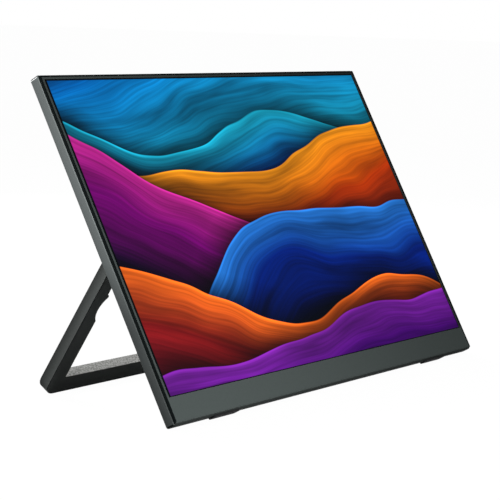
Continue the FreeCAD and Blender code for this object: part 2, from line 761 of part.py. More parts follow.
keep("power_button", fuse(button("power_y", "power_length", "power_flange_x")), "power_button")
pivot = block(("rocker_flange_x - pivot_depth", "rocker_y - pivot_width/2", "port_z - button_thickness/2"),
              ("pivot_depth", "pivot_width", "button_thickness"))
pivot_bore = post((pivot_x, "rocker_y", "port_z - button_thickness/2 - overrun"),
                  "pin_radius + shaft_clearance", "button_thickness + 2*overrun")
keep("menu_rocker", cut(fuse(button("rocker_y", "rocker_length", "rocker_flange_x") + [pivot]), [pivot_bore]),
     "menu_rocker")
keep("rocker_pin", post((pivot_x, "rocker_y", "floor_z - pin_bite"), "pin_radius",
                        "port_z + button_thickness/2 - floor_z + pin_bite"))
keep("tact_switches", group([
    fuse([block(("switch_left", f"{row} - switch_width/2", "port_z - switch_height/2"),
                ("switch_depth", "switch_width", "switch_height")),
          rod(("switch_left + switch_depth", row, "port_z"), "plunger_radius",
              "plunger_tip_x - switch_left - switch_depth")]) for row in switch_rows]))

# Speakers over the slots in the housing, and rubber feet under the lower edge
for side, name in ((-1, "left"), (1, "right")):
    box_x = f"{side}*speaker_x - speaker_width/2"
    box_y = "speaker_y - speaker_height/2"
    keep(name + "_speaker_box", cut(
        block((box_x, box_y, "housing_floor_z"), ("speaker_width", "speaker_height", "speaker_depth")),
        [block((box_x + " + speaker_wall", box_y + " + speaker_wall", "housing_floor_z - overrun"),
               ("speaker_width - 2*speaker_wall", "speaker_height - 2*speaker_wall",
                "speaker_depth - speaker_wall + overrun"))]))
    keep(name + "_speaker_driver", block(
        (box_x + " + speaker_wall + fit_gap", box_y + " + speaker_wall + fit_gap",
         "housing_floor_z + speaker_depth - speaker_wall - driver_thickness"),
        ("speaker_width - 2*(speaker_wall + fit_gap)", "speaker_height - 2*(speaker_wall + fit_gap)",
         "driver_thickness")))

    pad = new_body(name + "_pad")
    pad_block = pad.newObject("PartDesign::AdditiveBox", "pad_block")
    attach(pad_block, pad, "XY_Plane", (f"{side}*foot_spread/2 - foot_length/2",
                                        "-body_height/2 - foot_height", "-(foot_setback + foot_width)"))
    bind(pad_block, Length="foot_length", Width="foot_height", Height="foot_width")
    sole_y = -value("body_height") / 2 - value("foot_height")
    dress(pad, "Fillet", lambda edge: near(edge.BoundBox.YLength, value("foot_height")), Radius="foot_corner")
    dress(pad, "Fillet", lambda edge: near(edge.BoundBox.YMax, sole_y), Radius="edge_radius")
    pegs = [peg((x, "-body_height/2 - foot_height/2", foot_z), "peg_radius", "foot_height/2 + peg_length")
            for x in peg_places[side]]
    keep(name + "_foot", fuse([pad] + pegs))


# Friction hinges: a bracket in the housing, a shaft from the stand's arm, washers and a collar on its end
def outward(side, x, length):
    """Low X of a length that starts at x from the middle and runs outwards on its side."""
    return x if side > 0 else f"-({x}) - ({length})"


def ring(side, x, length):
    """A ring round the hinge shaft."""
    bore = rod((outward(side, f"{x} - overrun", f"{length} + 2*overrun"), "0", "0"),
               "shaft_radius + fit_gap", f"{length} + 2*overrun")
    return cut(rod((outward(side, x, length), "0", "0"), "washer_radius", length), [bore])


ear_x = "(housing_half - side_wall - ear_setback - ear_thickness)"
collar_x = f"{ear_x} - {washer_count}*washer_thickness - collar_length"
shaft_length = f"stand_width/2 - neck_width + shaft_grip - ({collar_x})"
for side, name in ((-1, "left"), (1, "right")):
    ear = block((outward(side, ear_x, "ear_thickness"), "hinge_y - ear_below", "housing_floor_z"),
                ("ear_thickness", "ear_below + ear_rise", "hinge_z + ear_top - housing_floor_z"))
    plate = block((outward(side, f"{ear_x} - plate_length", "plate_length + ear_thickness"),
                   "hinge_y + ear_rise - plate_height", plate_z),
                  ("plate_length + ear_thickness", "plate_height", "plate_thickness"))
    bores = [rod((outward(side, f"{ear_x} - overrun", "ear_thickness + 2*overrun"), "hinge_y", "hinge_z"),
                 "shaft_radius + shaft_clearance", "ear_thickness + 2*overrun")]
    bores += [post((x, y, plate_z + " - overrun"), "screw_radius + fit_gap", "plate_thickness + 2*overrun")
              for x, y in hinge_screws[side]]
    keep(name + "_hinge_bracket", cut(fuse([ear, plate]), bores))
    shaft = rod((outward(side, collar_x, shaft_length), "0", "0"), "shaft_radius", shaft_length)
    keep(name + "_hinge_shaft", shaft, "stand")
    keep(name + "_friction_washers",
         group([ring(side, f"{ear_x} - {number + 1}*washer_thickness", "washer_thickness")
                for number in range(washer_count)]), "stand")
    keep(name + "_hinge_collar", ring(side, collar_x, "collar_length"), "stand")

# Stand: two arms with round ends on the hinge axis, joined by a bar
yoke = new_body("yoke")
slab(yoke, "-stand_depth/2", "stand_depth/2", "stand_width", "bar_height", y="bar_height/2 - stand_length")
for side in (-1, 1):
    slab(yoke, "-stand_depth/2", "stand_depth/2", "arm_width", "stand_length - neck_length",
         x=f"{side}*(stand_width - arm_width)/2", y="-(stand_length + neck_length)/2")
    slab(yoke, "-stand_depth/2", "stand_depth/2", "neck_width", "neck_length",
         x=f"{side}*(stand_width - neck_width)/2", y="-neck_length/2")
    barrel = yoke.newObject("PartDesign::AdditiveCylinder", "barrel")
    attach(barrel, yoke, "YZ_Plane", ("0", "0", f"{side}*(stand_width - neck_width)/2 - neck_width/2"))
    bind(barrel, Radius="stand_depth/2", Height="neck_width")


def corner_at(edge, height):
    return upright(edge) and near(edge.BoundBox.YMin, height)


def face_edge(edge):
    """An edge round the front or back face, or round an arm's end."""
    box = edge.BoundBox
    flat = near(abs(box.ZMin), value("stand_depth") / 2) and near(box.ZLength, 0)
    across_arm = near(box.YMin, 0) and near(box.YLength, 0)
    round_end = near(box.XLength, 0) and near(box.YMax, value("stand_depth") / 2)
    return (flat and not across_arm) or round_end


bar_top = value("bar_height") - value("stand_length")
dress(yoke, "Fillet", lambda edge: corner_at(edge, -value("stand_length")), Radius="stand_corner")
dress(yoke, "Fillet", lambda edge: corner_at(edge, bar_top), Radius="inner_corner")
dress(yoke, "Fillet", face_edge, Radius="edge_radius")

# Finger notch in each arm's inner edge, as an arc through its length and depth, and the shafts' bores
notch_radius = "((notch_length/2)^2 + notch_depth^2)/(2*notch_depth)"
stand_cuts = []
for side in (-1, 1):
    notch_x = f"{side}*(stand_width/2 - arm_width + notch_depth - {notch_radius})"
    bore_x = outward(side, "stand_width/2 - neck_width - overrun", "shaft_grip + overrun")
    stand_cuts.append(post((notch_x, "-notch_middle", "-stand_depth/2 - overrun"), notch_radius,
                           "stand_depth + 2*overrun"))
    stand_cuts.append(rod((bore_x, "0", "0"), "shaft_radius + fit_gap", "shaft_grip + overrun"))
keep("stand_frame", cut(yoke, stand_cuts), "stand")
document.recompute()

# Rest pose: the head leans until the feet's rear edges and the stand's front lower edge are level. Both edges
# are rounded alike
opening = math.radians(value("opening_angle"))
round_off = value("edge_radius")
foot_edge = (-value("body_height") / 2 - value("foot_height") + round_off,
             -value("foot_setback") - value("foot_width") + round_off)
heel = (round_off - value("stand_length"), value("stand_depth") / 2 - round_off)
stand_edge = (value("hinge_y") + heel[0] * math.cos(opening) - heel[1] * math.sin(opening),
              value("hinge_z") + heel[0] * math.sin(opening) + heel[1] * math.cos(opening))
lean = math.degrees(math.atan2(stand_edge[0] - foot_edge[0], foot_edge[1] - stand_edge[1]))

across = FreeCAD.Vector(1, 0, 0)
head_turn = FreeCAD.Rotation(across, 90 - lean)
stand_turn = FreeCAD.Rotation(across, 90 - lean + value("opening_angle"))
hinge = FreeCAD.Vector(0, value("hinge_y"), value("hinge_z"))


def place_all(shift):
    for piece, moves_with in pieces.values():
        if moves_with == "stand":
            piece.Placement = FreeCAD.Placement(head_turn.multVec(hinge) + shift, stand_turn)
        else:
            piece.Placement = FreeCAD.Placement(shift, head_turn)
    document.recompute()


# Origin: on the table, under the middle of the box that holds the part
place_all(FreeCAD.Vector(0, 0, 0))
boxes = [piece.Shape.optimalBoundingBox() for piece, moves_with in pieces.values()]
near_y = min(box.YMin for box in boxes)
far_y = max(box.YMax for box in boxes)
table_z = min(box.ZMin for box in boxes)
shift = FreeCAD.Vector(0, -(near_y + far_y) / 2, -table_z)
place_all(shift)

# Nothing is written unless every object is sound
failed = [one.Label for one in document.Objects if "Invalid" in one.State or "Error" in one.State]
failed += [label for label, (piece, moves_with) in pieces.items()
           if piece.Shape.isNull() or not piece.Shape.isValid()]
if failed:
    raise SystemExit("unsound: " + ", ".join(failed))

os.makedirs("parts", exist_ok=True)
for label, (piece, moves_with) in pieces.items():
    piece.Shape.exportStep(f"parts/{label}.step")
    print(f"{label:24} {moves_with:13} solids {len(piece.Shape.Solids):3} volume {piece.Shape.Volume:10.1f}")
print(f"lean {lean:.3f} degrees, hinge axis at {head_turn.multVec(hinge) + shift}, shift {shift}")
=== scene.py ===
import json
import math
import bpy
import numpy as np
from mathutils import Matrix, Vector


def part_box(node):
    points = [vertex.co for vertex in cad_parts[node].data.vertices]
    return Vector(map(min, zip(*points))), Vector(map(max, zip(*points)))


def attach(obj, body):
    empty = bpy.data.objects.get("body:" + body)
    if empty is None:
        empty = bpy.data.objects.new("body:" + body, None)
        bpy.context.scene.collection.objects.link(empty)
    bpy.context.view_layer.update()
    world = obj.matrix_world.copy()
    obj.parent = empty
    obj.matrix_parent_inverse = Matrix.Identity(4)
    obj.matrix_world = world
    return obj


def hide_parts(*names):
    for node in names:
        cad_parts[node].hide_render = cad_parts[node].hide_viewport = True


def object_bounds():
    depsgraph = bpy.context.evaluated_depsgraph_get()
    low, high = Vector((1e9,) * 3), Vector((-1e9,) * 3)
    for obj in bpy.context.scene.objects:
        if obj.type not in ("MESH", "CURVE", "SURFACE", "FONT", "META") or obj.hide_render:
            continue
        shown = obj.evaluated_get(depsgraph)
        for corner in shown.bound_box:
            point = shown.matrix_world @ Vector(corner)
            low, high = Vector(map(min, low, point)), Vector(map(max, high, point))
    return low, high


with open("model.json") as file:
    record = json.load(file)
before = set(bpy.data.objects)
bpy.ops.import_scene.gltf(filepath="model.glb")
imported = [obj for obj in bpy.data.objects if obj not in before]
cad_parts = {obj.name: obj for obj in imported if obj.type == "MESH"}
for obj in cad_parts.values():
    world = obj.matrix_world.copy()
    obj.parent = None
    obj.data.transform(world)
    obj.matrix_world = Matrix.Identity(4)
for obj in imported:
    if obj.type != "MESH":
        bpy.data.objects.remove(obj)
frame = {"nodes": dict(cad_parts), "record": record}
cadBox = [list(corner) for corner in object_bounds()]
print("frame loaded:", len(frame["nodes"]), "nodes")

# the screen's own directions: up comes from the feet's soles, which face straight down the screen
soles = {mount["name"]: np.array(mount["axis"], float)
         for mount in frame["record"]["mounts"] if "sole" in mount["name"]}
acrossScreen = np.array([1.0, 0.0, 0.0])
upScreen = -soles["left_foot_sole"]
outOfScreen = np.cross(acrossScreen, upScreen)
# the stand's: up its arms, and square to them towards the screen
armUp = -soles["stand_sole"]
armInward = np.cross(acrossScreen, armUp)
skyward = (0.0, 0.0, 1.0)
bothSides = (-1, 1)

# how fine each noise is drawn, and the part of its range that is used
detail = dict(cloud=4.0, grain=2.0, speck=3.0, line=3.0, haze=3.0, wear=2.0, ripple=2.0, streak=3.0,
              sheen=1.0, paper=2.0)
noiseReach = (0.3, 0.7)
speckReach = (0.35, 0.65)


# node helpers: a socket is linked, anything else is set on the socket itself
def addNode(tree, kind, inputs=None, **settings):
    node = tree.nodes.new(kind)
    for key, value in settings.items():
        setattr(node, key, value)
    for key, value in (inputs or {}).items():
        if isinstance(value, bpy.types.NodeSocket):
            tree.links.new(value, node.inputs[key])
        else:
            node.inputs[key].default_value = value
    return node


def calc(tree, operation, first, second=0.0, third=0.0):
    return addNode(tree, "ShaderNodeMath", {0: first, 1: second, 2: third}, operation=operation).outputs[0]


def spread(tree, value, low, high, fromLow=0.0, fromHigh=1.0):
    inputs = {"Value": value, "From Min": fromLow, "From Max": fromHigh, "To Min": low, "To Max": high}
    return addNode(tree, "ShaderNodeMapRange", inputs).outputs[0]


def measureAlong(tree, place, direction):
    inputs = {0: place, 1: tuple(direction)}
    return addNode(tree, "ShaderNodeVectorMath", inputs, operation="DOT_PRODUCT").outputs["Value"]


def objectPlace(tree):
    return addNode(tree, "ShaderNodeTexCoord").outputs["Object"]


def noise(tree, place, scale, fineness):
    inputs = {"Vector": place, "Scale": scale, "Detail": fineness}
    return addNode(tree, "ShaderNodeTexNoise", inputs).outputs["Fac"]


def opaque(colour):
    return (*colour, 1.0)


def shaded(colour, factor):
    return opaque([min(1.0, channel * factor) for channel in colour])


def mixColour(tree, share, first, second):
    node = addNode(tree, "ShaderNodeMix", {0: share, 6: first, 7: second}, data_type="RGBA")
    return node.outputs[2]


def scaleColour(tree, colour, tone):
    inputs = {0: colour, "Scale": tone}
    return addNode(tree, "ShaderNodeVectorMath", inputs, operation="SCALE").outputs["Vector"]


def variedColour(tree, share, colour, swing):
    return mixColour(tree, share, shaded(colour, 1 - swing), shaded(colour, 1 + swing))


def variedRoughness(tree, share, look):
    low = look["roughness"] - look["roughnessSpread"]
    high = look["roughness"] + look["roughnessSpread"]
    return spread(tree, share, low, high, *noiseReach)


def raisedNormal(tree, look, height, under=None):
    inputs = {"Strength": look["bump"], "Distance": look["depth"], "Height": height}
    if under is not None:
        inputs["Normal"] = under
    return addNode(tree, "ShaderNodeBump", inputs).outputs["Normal"]


def startMaterial(name):
    material = bpy.data.materials.new(name)
    material.use_nodes = True
    material.node_tree.nodes.clear()
    return material, material.node_tree


def endMaterial(tree, shader):
    output = tree.nodes.new("ShaderNodeOutputMaterial")
    tree.links.new(shader, output.inputs["Surface"])


# a gentle crown on side faces: height = -tan(tilt) s^2 / (2 half), s measured from a point along a direction
def crownNormal(tree, place, crown):
    inputs = {0: place, 1: crown["through"]}
    away = addNode(tree, "ShaderNodeVectorMath", inputs, operation="SUBTRACT").outputs["Vector"]
    along = measureAlong(tree, away, crown["direction"])
    limits = {"Value": along, "Min": -crown["half"], "Max": crown["half"]}
    held = addNode(tree, "ShaderNodeClamp", limits).outputs[0]
    bend = -math.tan(crown["tilt"]) / (2 * crown["half"])
    height = calc(tree, "MULTIPLY", calc(tree, "MULTIPLY", held, held), bend)
    return raisedNormal(tree, dict(bump=1.0, depth=1.0), height)


# painted light and shade on the faces that look a given way, between two heights: a colour with a grain of
# its own, or a fade, which scales the colour by a tone that runs along one direction
def paintedLightShadeColour(tree, place, colour, paintedLightShadeLooks):
    normal = addNode(tree, "ShaderNodeTexCoord").outputs["Normal"]
    height = measureAlong(tree, place, skyward)
    for face in paintedLightShadeLooks:
        inside = calc(tree, "GREATER_THAN", measureAlong(tree, normal, face["direction"]), face["facing"])
        if "below" in face:
            inside = calc(tree, "MULTIPLY", inside, calc(tree, "LESS_THAN", height, face["below"]))
        if "above" in face:
            inside = calc(tree, "MULTIPLY", inside, calc(tree, "GREATER_THAN", height, face["above"]))
        if "fade" in face:
            tone = spread(tree, measureAlong(tree, place, face["fade"]), *face["tones"], *face["reach"])
            other = scaleColour(tree, colour, tone)
        else:
            grain = noise(tree, place, face["grainScale"], detail["speck"])
            specks = spread(tree, grain, 0.0, 1.0, *speckReach)
            other = variedColour(tree, specks, face["colour"], face["grainSpread"])
        colour = mixColour(tree, inside, colour, other)
    return colour


# grained finish: a slow cloud moves the colour and the gloss, a fine grain raises the surface
def grainedFinish(name, look, paintedLightShadeLooks):
    material, tree = startMaterial(name)
    place = objectPlace(tree)
    cloud = noise(tree, place, look["cloudScale"], detail["cloud"])
    grain = noise(tree, place, look["grainScale"], detail["grain"])
    slow = variedColour(tree, cloud, look["colour"], look["cloudSpread"])
    specks = spread(tree, grain, 0.0, 1.0, *speckReach)
    speckled = variedColour(tree, specks, look["colour"], look["grainSpread"])
    colour = mixColour(tree, 0.5, slow, speckled)  # half of each
    # painted light and shade on chosen faces
    if paintedLightShadeLooks:
        colour = paintedLightShadeColour(tree, place, colour, paintedLightShadeLooks)
    crown = crownNormal(tree, place, look["crown"]) if "crown" in look else None
    shader = addNode(tree, "ShaderNodeBsdfPrincipled", {
        "Base Color": colour, "Roughness": variedRoughness(tree, cloud, look),
        "Metallic": look.get("metallic", 0.0), "Specular IOR Level": look["specular"],
        "Normal": raisedNormal(tree, look, grain, crown)})
    endMaterial(tree, shader.outputs[0])
    return material


# brushed finish: noise drawn out one way, as lines along a plate or rings round a shaft
def brushedFinish(name, look):
    material, tree = startMaterial(name)
    inputs = {"Vector": objectPlace(tree), "Scale": look["lineScale"]}
    drawn = addNode(tree, "ShaderNodeMapping", inputs).outputs[0]
    lines = noise(tree, drawn, 1.0, detail["line"])
    shader = addNode(tree, "ShaderNodeBsdfPrincipled", {
        "Base Color": variedColour(tree, lines, look["colour"], look["lineSpread"]),
        "Roughness": variedRoughness(tree, lines, look), "Metallic": 1.0,
        "Normal": raisedNormal(tree, look, lines)})
    endMaterial(tree, shader.outputs[0])
    return material


# circuit board: resist over copper lines on a grid, with tinned pads
def boardFinish(name, look):
    material, tree = startMaterial(name)
    place = objectPlace(tree)
    sides = addNode(tree, "ShaderNodeSeparateXYZ", {0: place})
    along = measureAlong(tree, place, upScreen)
    flat = addNode(tree, "ShaderNodeCombineXYZ", {0: sides.outputs[0], 1: along}).outputs[0]
    plain, lighter, darker = (shaded(look["colour"], tone) for tone in look["tones"])
    bricks = addNode(tree, "ShaderNodeTexBrick", {
        "Vector": flat, "Color1": plain, "Color2": lighter, "Mortar": darker,
        "Scale": look["traceScale"], "Mortar Size": look["traceWidth"]})
    pads = addNode(tree, "ShaderNodeTexVoronoi", {
        "Vector": flat, "Scale": look["padScale"], "Randomness": look["padScatter"]})
    padShare = spread(tree, pads.outputs["Distance"], 1.0, 0.0, *look["padReach"])
    shader = addNode(tree, "ShaderNodeBsdfPrincipled", {
        "Base Color": mixColour(tree, padShare, bricks.outputs["Color"], opaque(look["padColour"])),
        "Roughness": spread(tree, padShare, look["roughness"], look["padRoughness"]), "Metallic": padShare,
        "Normal": raisedNormal(tree, look, bricks.outputs["Fac"])})
    endMaterial(tree, shader.outputs[0])
    return material


# clear sheet: glass or acrylic with a faint haze
def clearFinish(name, look):
    material, tree = startMaterial(name)
    haze = noise(tree, objectPlace(tree), look["hazeScale"], detail["haze"])
    shader = addNode(tree, "ShaderNodeBsdfPrincipled", {
        "Base Color": opaque(look["colour"]),
        "Roughness": spread(tree, haze, look["roughness"], look["roughness"] + look["haze"]),
        "Transmission Weight": look["clearness"], "IOR": look["ior"]})
    endMaterial(tree, shader.outputs[0])
    return material


# contact tongue: gilt contacts side by side up the screen on black plastic
def tongueFinish(name, look):
    material, tree = startMaterial(name)
    place = objectPlace(tree)
    count = calc(tree, "DIVIDE", measureAlong(tree, place, upScreen), look["pitch"])
    gilt = calc(tree, "LESS_THAN", calc(tree, "FRACT", count), look["giltShare"])
    wear = noise(tree, place, look["wearScale"], detail["wear"])
    worn, bright = (shaded(look["gilt"], tone) for tone in look["giltTones"])
    contacts = mixColour(tree, wear, worn, bright)
    shader = addNode(tree, "ShaderNodeBsdfPrincipled", {
        "Base Color": mixColour(tree, gilt, opaque(look["colour"]), contacts),
        "Roughness": spread(tree, gilt, look["roughness"], look["giltRoughness"]), "Metallic": gilt})
    endMaterial(tree, shader.outputs[0])
    return material


filmLow, filmHigh = (np.array(corner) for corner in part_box("polarizer_film"))
filmCentre = 0.5 * (filmLow + filmHigh)

# the casing's walls are crowned about the middle of their depth, which lies this far behind the film
wallMiddle = 0.0041
casingCrown = dict(through=tuple(filmCentre - wallMiddle * outOfScreen), direction=outOfScreen, half=0.0034,
                   tilt=math.radians(20))

# looks of the grained pieces: colours in linear light, scales per metre, depths in metres
grainedLooks = {
    "casingGrey": dict(
        colour=(0.108, 0.120, 0.119), cloudScale=9.0, cloudSpread=0.04, grainScale=2600.0, grainSpread=0.05,
        depth=0.00002, bump=0.04, roughness=0.65, roughnessSpread=0.04, specular=0.02, crown=casingCrown),
    "rimBlack": dict(
        colour=(0.0055, 0.0075, 0.0075), cloudScale=14.0, cloudSpread=0.1, grainScale=3000.0, grainSpread=0.1,
        depth=0.00001, bump=0.02, roughness=0.7, roughnessSpread=0.04, specular=0.01),
    "bezelGrey": dict(
        colour=(0.068, 0.082, 0.079), cloudScale=11.0, cloudSpread=0.04, grainScale=2200.0, grainSpread=0.14,
        depth=0.00003, bump=0.35, roughness=0.62, roughnessSpread=0.04, specular=0.03),
    "standGrey": dict(
        colour=(0.092, 0.099, 0.096), cloudScale=12.0, cloudSpread=0.05, grainScale=1500.0, grainSpread=0.16,
        depth=0.00005, bump=0.5, roughness=0.62, roughnessSpread=0.05, specular=0.02),
    "buttonGrey": dict(
        colour=(0.055, 0.060, 0.060), cloudScale=40.0, cloudSpread=0.05, grainScale=2600.0, grainSpread=0.12,
        depth=0.00002, bump=0.3, roughness=0.5, roughnessSpread=0.04, specular=0.4),
    "footRubber": dict(
        colour=(0.013, 0.013, 0.014), cloudScale=60.0, cloudSpread=0.15, grainScale=1200.0, grainSpread=0.2,
        depth=0.00006, bump=0.6, roughness=0.8, roughnessSpread=0.06, specular=0.1),
    "foamBlack": dict(
        colour=(0.01, 0.01, 0.01), cloudScale=80.0, cloudSpread=0.2, grainScale=900.0, grainSpread=0.3,
        depth=0.0001, bump=0.8, roughness=0.9, roughnessSpread=0.05, specular=0.2),
    "sheetWhite": dict(
        colour=(0.82, 0.82, 0.81), cloudScale=8.0, cloudSpread=0.02, grainScale=1800.0, grainSpread=0.02,
        depth=0.00002, bump=0.2, roughness=0.6, roughnessSpread=0.04, specular=0.4),
    "chipBlack": dict(
        colour=(0.018, 0.018, 0.02), cloudScale=50.0, cloudSpread=0.1, grainScale=2400.0, grainSpread=0.2,
        depth=0.00003, bump=0.4, roughness=0.65, roughnessSpread=0.05, specular=0.4),
    "driverBlack": dict(
        colour=(0.03, 0.03, 0.03), cloudScale=70.0, cloudSpread=0.2, grainScale=700.0, grainSpread=0.3,
        depth=0.0001, bump=0.6, roughness=0.85, roughnessSpread=0.05, specular=0.2),
    "lampYellow": dict(
        colour=(0.85, 0.68, 0.14), cloudScale=200.0, cloudSpread=0.06, grainScale=4000.0, grainSpread=0.05,
        depth=0.00001, bump=0.2, roughness=0.3, roughnessSpread=0.05, specular=0.5),
    "flexAmber": dict(
        colour=(0.42, 0.18, 0.035), cloudScale=90.0, cloudSpread=0.1, grainScale=2600.0, grainSpread=0.08,
        depth=0.00001, bump=0.15, roughness=0.3, roughnessSpread=0.05, specular=0.5),
    "cableWhite": dict(
        colour=(0.68, 0.68, 0.66), cloudScale=60.0, cloudSpread=0.04, grainScale=2000.0, grainSpread=0.05,
        depth=0.00001, bump=0.2, roughness=0.5, roughnessSpread=0.05, specular=0.4),
    "canAluminium": dict(
        colour=(0.7, 0.7, 0.72), cloudScale=120.0, cloudSpread=0.06, grainScale=3000.0, grainSpread=0.06,
        depth=0.00001, bump=0.2, roughness=0.32, roughnessSpread=0.05, specular=0.5, metallic=1.0),
}


# faces with painted light and shade of their own
def paintedShadingFace(direction, facing, fade, tones, reach, **heights):
    return dict(direction=direction, facing=facing, fade=fade, tones=tones, reach=reach, **heights)


def paintedLightShadeFace(direction, facing, colour, grainScale, grainSpread, **heights):
    return dict(direction=direction, facing=facing, colour=colour, grainScale=grainScale,
                grainSpread=grainSpread, **heights)


# leans from one direction towards another, by degrees
def leaning(first, second, angle):
    return math.cos(math.radians(angle)) * first + math.sin(math.radians(angle)) * second


# where those looks begin and end, in metres
marks = dict(armHalf=0.004, armFadeFoot=0.095, armFadeTop=0.06, barHeight=0.03, footHeight=0.02,
             lipHeight=0.0018, chinDrop=0.1066, stripReach=0.17, wallFade=(0.06, 0.095),
             edgeFade=(0.05, 0.12), upperCorner=0.008, lowerCorner=0.01)
hingeMiddle = np.mean([np.array(corner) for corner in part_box("left_hinge_shaft")], axis=0)
armMiddle = float(hingeMiddle @ armInward)
armTop = float(hingeMiddle @ armUp)
rimFoot = float(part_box("front_rim")[0][2])
chinTop = float((filmCentre - marks["chinDrop"] * upScreen)[2])
upperBand = cadBox[1][2] - marks["upperCorner"]

# the stand's painted light and shade: its sides lighten to the screen and its front lightens up the arms in
# painted shading, the bar's top is lightened by painted light, and the edges between sides and front are
# darkened by painted shade
standPaintedLightShade = [paintedShadingFace(side * acrossScreen, facing=0.7, fade=armInward, tones=(0.5, 1.32),
                        reach=(armMiddle - marks["armHalf"], armMiddle + marks["armHalf"]))
              for side in bothSides]
standPaintedLightShade.append(paintedShadingFace(armInward, facing=0.9, fade=armUp, tones=(1.45, 2.0),
                            reach=(armTop - marks["armFadeFoot"], armTop - marks["armFadeTop"])))
standPaintedLightShade.append(paintedLightShadeFace(armUp, facing=0.9, below=marks["barHeight"], colour=(0.28, 0.28, 0.27),
                              grainScale=900.0, grainSpread=0.4))
standPaintedLightShade += [paintedLightShadeFace(leaning(side * acrossScreen, armInward, angle=61.9), facing=0.912,
                           colour=(0.006, 0.007, 0.007), grainScale=1500.0, grainSpread=0.1)
               for side in bothSides]

# the rim's foot: painted light lightens its lower bevel and the lip above it
rimPaintedLight = [paintedLightShadeFace(-upScreen, facing=0.5, below=marks["footHeight"], colour=(0.048, 0.054, 0.053),
                        grainScale=2200.0, grainSpread=0.1),
            paintedLightShadeFace(outOfScreen, facing=0.9, below=rimFoot + marks["lipHeight"],
                        colour=(0.070, 0.084, 0.081), grainScale=2200.0, grainSpread=0.1)]

# the bezel's thin strips above the chin darken to the right: painted shade
bezelPaintedShade = [paintedShadingFace(outOfScreen, facing=0.5, above=chinTop, fade=acrossScreen, tones=(0.9, 0.25),
                        reach=(-marks["stripReach"], marks["stripReach"]))]

# the casing's painted light and shade: painted shade darkens the underside, and painted light and highlight
# make side walls and front edges brighten upwards
casingPaintedLightShade = [paintedLightShadeFace(-upScreen, facing=0.5, below=marks["footHeight"], colour=(0.022, 0.026, 0.025),
                           grainScale=2600.0, grainSpread=0.1)]
casingPaintedLightShade += [paintedShadingFace(side * acrossScreen, facing=0.95, fade=skyward, tones=(0.72, 1.15),
                          reach=marks["wallFade"])
                for side in bothSides]
casingPaintedLightShade += [paintedShadingFace(leaning(side * acrossScreen, outOfScreen, angle=45), facing=0.95, fade=skyward,
                          tones=(0.6, 1.7), reach=marks["edgeFade"])
                for side in bothSides]

# its corners: the upper ones turn from a painted highlight line by the side wall to a painted shade line by
# the top wall, and the lower ones are darkened by painted shade; the heights keep the housing's own corners
# out
cornerPaintedLightShade = [
    dict(angle=12, facing=0.982, above=upperBand, colour=(0.80, 0.82, 0.82)),
    dict(angle=56, facing=0.82, above=upperBand, colour=(0.010, 0.012, 0.012)),
    dict(angle=-52, facing=0.79, below=marks["lowerCorner"], colour=(0.010, 0.012, 0.012)),
]
for corner in cornerPaintedLightShade:
    angle = corner.pop("angle")
    casingPaintedLightShade += [paintedLightShadeFace(leaning(side * acrossScreen, upScreen, angle), grainScale=2600.0,
                                grainSpread=0.05, **corner)
                    for side in bothSides]
# each grained finish's painted light and shade
faces = {"standGrey": standPaintedLightShade, "rimBlack": rimPaintedLight, "bezelGrey": bezelPaintedShade, "casingGrey": casingPaintedLightShade}

brushedLooks = {
    "plateSteel": dict(colour=(0.56, 0.56, 0.57), lineScale=(60.0, 4000.0, 4000.0), lineSpread=0.08,
                       depth=0.00001, bump=0.3, roughness=0.34, roughnessSpread=0.06),
    "turnedSteel": dict(colour=(0.42, 0.42, 0.43), lineScale=(3000.0, 200.0, 200.0), lineSpread=0.1,
                        depth=0.00001, bump=0.3, roughness=0.3, roughnessSpread=0.06),
}
boardLook = dict(
    colour=(0.016, 0.105, 0.05), tones=(1.0, 1.5, 0.55), traceScale=260.0, traceWidth=0.03, depth=0.00003,
    bump=0.4, roughness=0.42, padColour=(0.65, 0.62, 0.56), padScale=330.0, padScatter=0.6,
    padReach=(0.08, 0.11), padRoughness=0.25)
clearLooks = {
    "cellGlass": dict(colour=(0.93, 0.96, 0.96), roughness=0.02, haze=0.05, hazeScale=30.0,
                      clearness=1.0, ior=1.5),
    "guideClear": dict(colour=(0.95, 0.97, 0.98), roughness=0.05, haze=0.05, hazeScale=50.0,
                       clearness=0.9, ior=1.49),
}
tongueLook = dict(
    colour=(0.012, 0.012, 0.013), roughness=0.55, pitch=0.0005, gilt=(0.8, 0.53, 0.18), giltShare=0.5,
    giltTones=(0.75, 1.1), giltRoughness=0.25, wearScale=1500.0)

finishes = {name: grainedFinish(name, look, faces.get(name)) for name, look in grainedLooks.items()}
finishes.update({name: brushedFinish(name, look) for name, look in brushedLooks.items()})
finishes.update({name: clearFinish(name, look) for name, look in clearLooks.items()})
finishes["boardGreen"] = boardFinish("boardGreen", boardLook)
finishes["tongueGilt"] = tongueFinish("tongueGilt", tongueLook)

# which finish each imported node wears: the single ones, then those with a left and a right
nodeFinishes = {
    "rear_cover": "casingGrey", "front_rim": "rimBlack", "front_bezel": "bezelGrey",
    "stand_frame": "standGrey", "panel_gasket": "foamBlack", "front_glass": "cellGlass",
    "rear_glass": "cellGlass", "diffuser_sheets": "sheetWhite", "light_guide": "guideClear",
    "reflector_sheet": "sheetWhite", "panel_tray": "plateSteel", "led_strip": "boardGreen",
    "led_chips": "lampYellow", "timing_board": "boardGreen", "panel_flexes": "flexAmber",
    "main_board": "boardGreen", "scaler_chip": "chipBlack", "shield_can": "plateSteel",
    "board_capacitors": "canAluminium", "board_screws": "turnedSteel", "port_screws": "turnedSteel",
    "hinge_screws": "turnedSteel", "panel_cable": "cableWhite", "port_cable": "cableWhite",
    "port_board": "boardGreen", "usb_port_shells": "plateSteel", "usb_port_tongues": "tongueGilt",
    "hdmi_port_shell": "plateSteel", "hdmi_port_tongue": "tongueGilt", "power_button": "buttonGrey",
    "menu_rocker": "buttonGrey", "rocker_pin": "turnedSteel", "tact_switches": "chipBlack",
}
